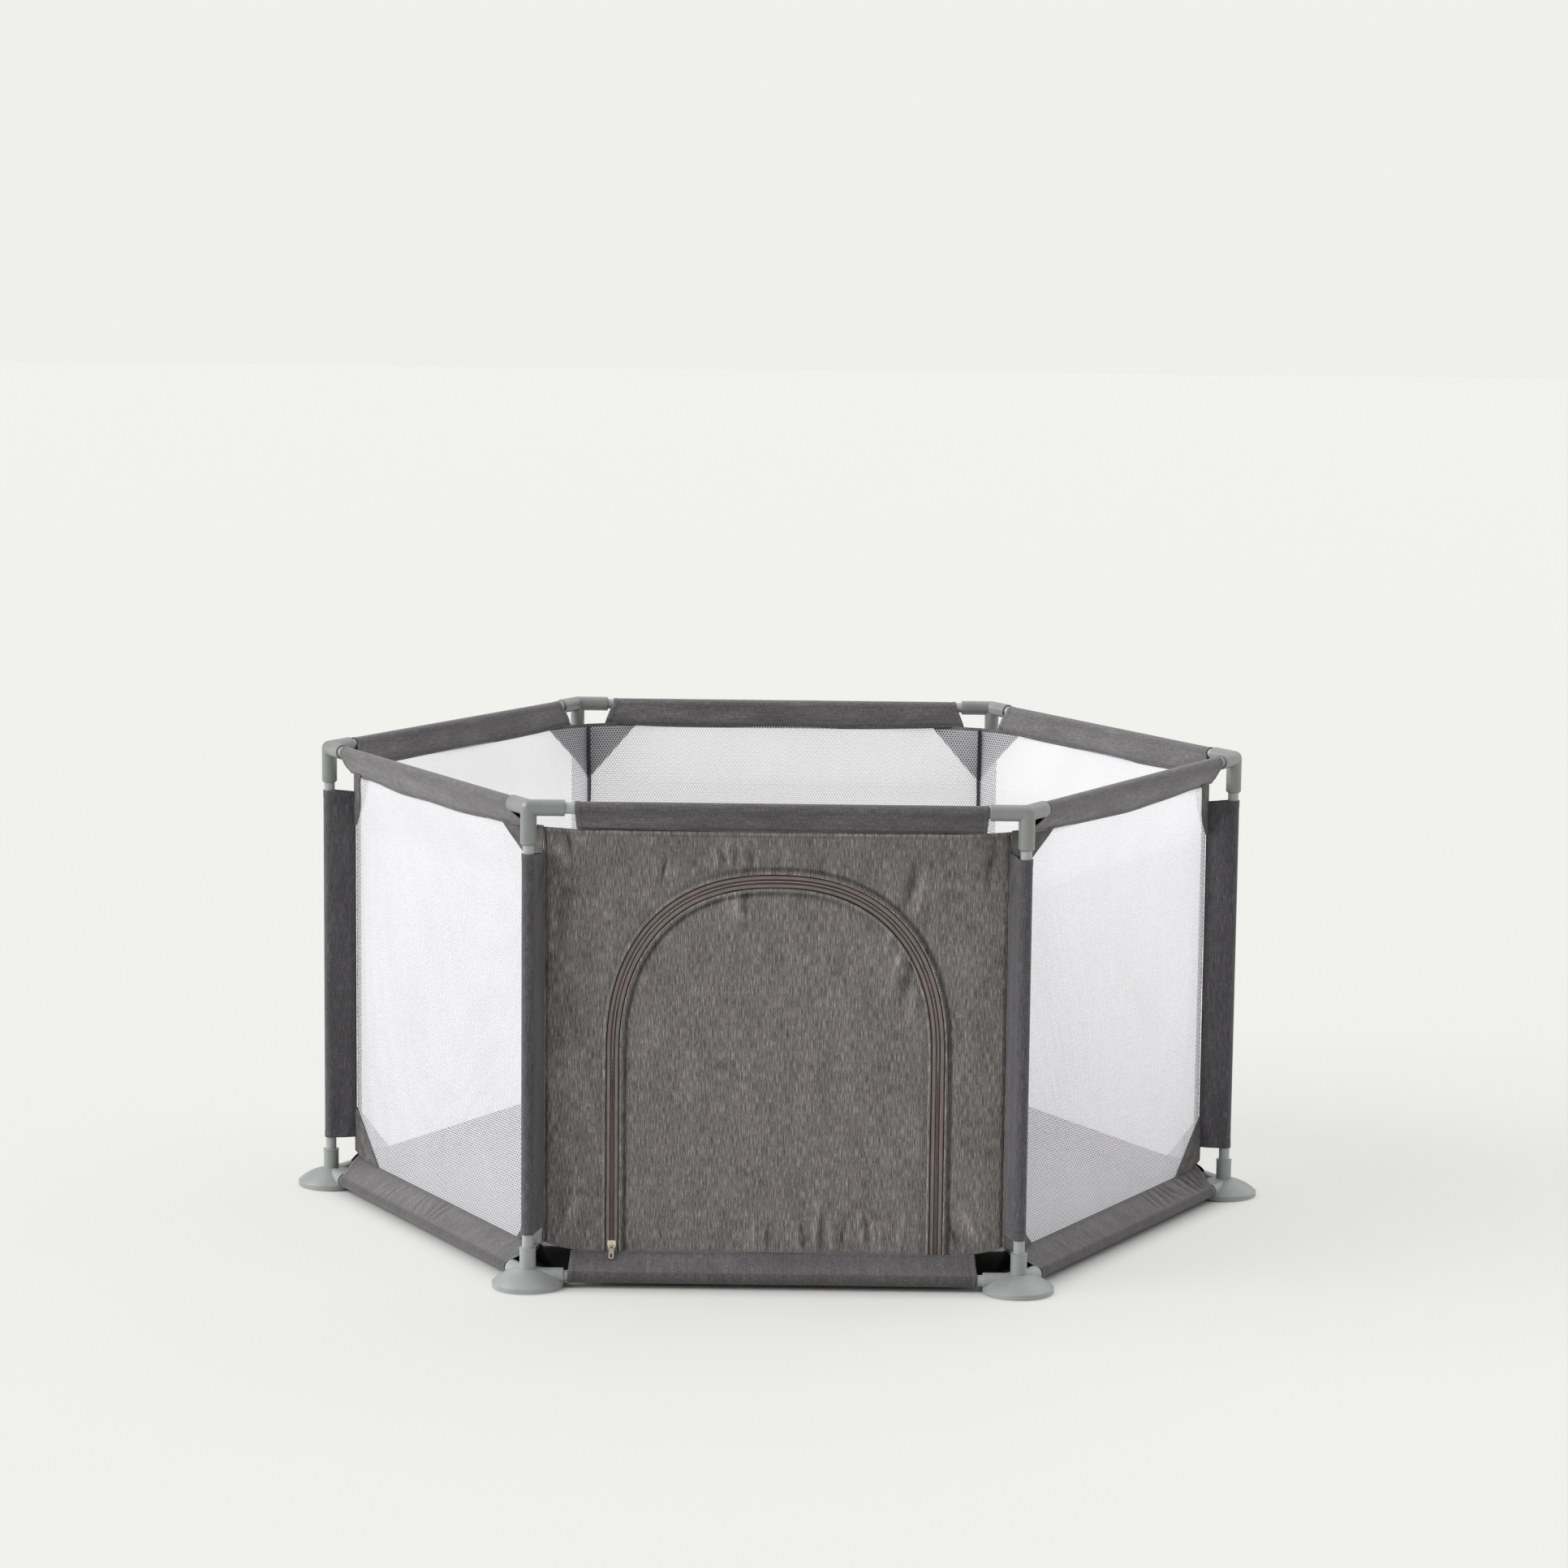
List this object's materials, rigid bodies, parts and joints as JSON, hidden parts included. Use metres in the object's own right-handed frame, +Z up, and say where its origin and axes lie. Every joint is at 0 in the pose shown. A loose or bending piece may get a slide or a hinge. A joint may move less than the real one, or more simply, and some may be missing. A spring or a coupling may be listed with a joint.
{
  "type": "baby playpen",
  "caption": "Six-sided free-standing baby playpen: tube frame, mesh walls and a zipped fabric door that folds down.",
  "frame": {"origin": "on the floor under the middle of the pen", "axes": "+Z up, +X along the door side to its right seen from outside, the door side faces -Y"},
  "size_m": [1.47, 1.2864, 0.6874],
  "materials": {
    "frame_tube": "satin",
    "corner_plastic": "matte",
    "foot_rubber": "matte",
    "heather_fabric": "woven",
    "patch_fabric": "woven",
    "binding_tape": "woven",
    "mesh_fabric": "knitted",
    "floor_fabric": "woven",
    "zip_tape": "woven",
    "zip_metal": "satin"
  },
  "bodies": {
    "frame": {"upright_pole_1": "frame_tube", "top_rail_1": "frame_tube", "bottom_rail_1": "frame_tube", "top_corner_1": "corner_plastic", "foot_1": "corner_plastic", "top_sleeve_1": "heather_fabric", "bottom_sleeve_1": "heather_fabric", "upright_pole_2": "frame_tube", "top_rail_2": "frame_tube", "bottom_rail_2": "frame_tube", "top_corner_2": "corner_plastic", "foot_2": "corner_plastic", "top_sleeve_2": "heather_fabric", "bottom_sleeve_2": "heather_fabric", "upright_pole_3": "frame_tube", "top_rail_3": "frame_tube", "bottom_rail_3": "frame_tube", "top_corner_3": "corner_plastic", "foot_3": "corner_plastic", "top_sleeve_3": "heather_fabric", "bottom_sleeve_3": "heather_fabric", "upright_pole_4": "frame_tube", "top_rail_4": "frame_tube", "bottom_rail_4": "frame_tube", "top_corner_4": "corner_plastic", "foot_4": "corner_plastic", "top_sleeve_4": "heather_fabric", "bottom_sleeve_4": "heather_fabric", "upright_pole_5": "frame_tube", "top_rail_5": "frame_tube", "bottom_rail_5": "frame_tube", "top_corner_5": "corner_plastic", "foot_5": "corner_plastic", "top_sleeve_5": "heather_fabric", "bottom_sleeve_5": "heather_fabric", "upright_pole_6": "frame_tube", "top_rail_6": "frame_tube", "bottom_rail_6": "frame_tube", "top_corner_6": "corner_plastic", "foot_6": "corner_plastic", "top_sleeve_6": "heather_fabric", "bottom_sleeve_6": "heather_fabric", "foot_pads": "foot_rubber", "pole_sleeves": "heather_fabric", "mesh_panel_1": "mesh_fabric", "mesh_panel_2": "mesh_fabric", "mesh_panel_3": "mesh_fabric", "mesh_panel_4": "mesh_fabric", "mesh_panel_5": "mesh_fabric", "corner_patches": "patch_fabric", "corner_bindings": "binding_tape", "floor_sheet": "floor_fabric", "door_surround": "heather_fabric", "door_sill": "heather_fabric", "zip_tape_outer": "zip_tape"},
    "door_flap": {"door_flap": "heather_fabric", "zip_tape_inner": "zip_tape"},
    "zip_slider": {"zip_slider": "zip_metal"},
    "zip_pull": {"zip_pull": "zip_metal"}
  },
  "joints": [
    {"name": "door_fold", "type": "hinge", "parent": "frame", "child": "door_flap", "pos_m": [0, -0.55979, 0.061], "axis": [1, 0, 0], "range_deg": [0, 95]},
    {"name": "zip_run", "type": "slide", "parent": "frame", "child": "zip_slider", "axis": [0, 0, 1], "range_m": [0, 0.265]},
    {"name": "pull_swing", "type": "hinge", "parent": "zip_slider", "child": "zip_pull", "pos_m": [-0.227, -0.56234, 0.052], "axis": [-1, 0, 0], "range_deg": [0, 125]}
  ]
}
